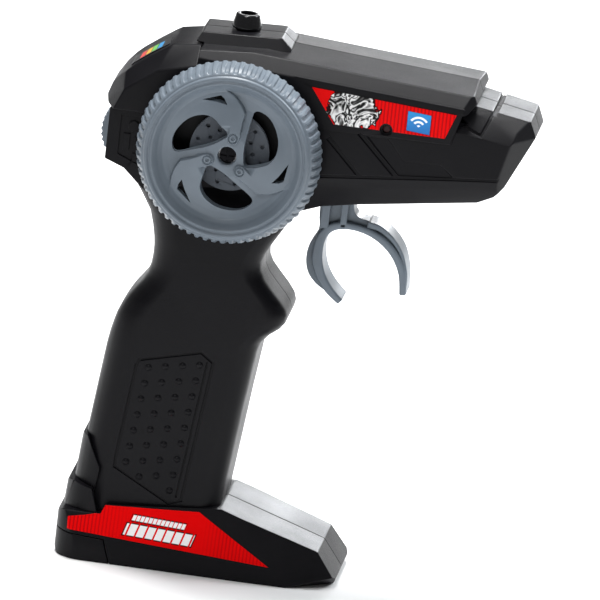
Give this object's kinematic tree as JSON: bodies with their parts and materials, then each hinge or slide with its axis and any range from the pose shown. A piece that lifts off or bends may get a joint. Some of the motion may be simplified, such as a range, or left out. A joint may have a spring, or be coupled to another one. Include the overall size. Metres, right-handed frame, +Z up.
{
  "type": "radio transmitter controller",
  "caption": "Pistol-grip radio transmitter for a model car, with a sprung steering wheel, a two-finger throttle trigger, a trim dial, a power switch and a battery base.",
  "frame": {"origin": "middle of the base's flat underside, on the plane where the two half shells meet", "axes": "+X forward, the way the nose points; +Y to the driver's left; +Z up; the steering wheel is on the -Y side"},
  "size_m": [0.1306, 0.0548, 0.1689],
  "materials": {
    "shell_black": "satin black moulded plastic with a fine texture",
    "post_black": "polished black plastic",
    "wheel_grey": "semi-gloss mid grey plastic",
    "disc_grey": "darker grey plastic",
    "label_red": "glossy printed red label with fine darker stripes",
    "label_blue": "glossy printed blue badge",
    "label_rainbow": "glossy printed label with coloured bands",
    "led_red": "dark red clear plastic",
    "steel": "bright zinc-plated steel",
    "black_steel": "blackened steel",
    "pot_blue": "blue moulded component body",
    "board_green": "green solder mask",
    "chip_black": "black component bodies",
    "wire_black": "black wire sleeve",
    "wire_red": "red wire sleeve",
    "cell_wrap": "printed plain cell wrapper"
  },
  "bodies": {
    "housing": {"right_shell": "shell_black", "left_shell": "shell_black", "rear_hood": "shell_black", "antenna_post": "post_black", "right_head_label": "label_red", "left_head_label": "label_red", "head_badges": "label_blue", "right_base_label": "label_red", "left_base_label": "label_red", "hood_label": "label_rainbow", "shell_screws": "steel", "power_led": "led_red", "wheel_bush": "steel", "steering_pot": "pot_blue", "steering_spring": "steel", "trigger_pin": "steel", "throttle_pot": "pot_blue", "trigger_spring": "steel", "trim_pot": "pot_blue", "circuit_board": "board_green", "board_chips": "chip_black", "antenna_wire": "wire_black", "battery_wires": "wire_red", "switch_body": "chip_black", "cell_right": "cell_wrap", "cell_left": "cell_wrap", "cell_springs": "steel", "cell_plates": "steel"},
    "wheel": {"wheel_rim": "wheel_grey", "brake_disc": "disc_grey", "steering_shaft": "steel", "wheel_screw": "black_steel"},
    "trigger_body": {"trigger": "wheel_grey"},
    "dial": {"trim_dial": "wheel_grey"},
    "slider": {"switch_slider": "shell_black"},
    "door": {"battery_door": "shell_black"}
  },
  "joints": [
    {"name": "steer", "type": "hinge", "parent": "housing", "child": "wheel", "pos_m": [-0.0024, -0.022, 0.1322], "axis": [0, 1, 0], "range_deg": [-38, 38], "stiffness_Nm_per_rad": 0.02},
    {"name": "throttle", "type": "hinge", "parent": "housing", "child": "trigger_body", "pos_m": [0.0295, 0, 0.127], "axis": [0, 1, 0], "range_deg": [-12, 15], "stiffness_Nm_per_rad": 0.08},
    {"name": "trim", "type": "hinge", "parent": "housing", "child": "dial", "pos_m": [-0.0323, 0, 0.1284], "axis": [0, 1, 0], "range_deg": [-60, 60]},
    {"name": "power", "type": "slide", "parent": "housing", "child": "slider", "axis": [1, 0, 0], "range_m": [0, 0.0035]},
    {"name": "door_slide", "type": "slide", "parent": "housing", "child": "door", "axis": [-1, 0, 0], "range_m": [0, 0.03]}
  ]
}
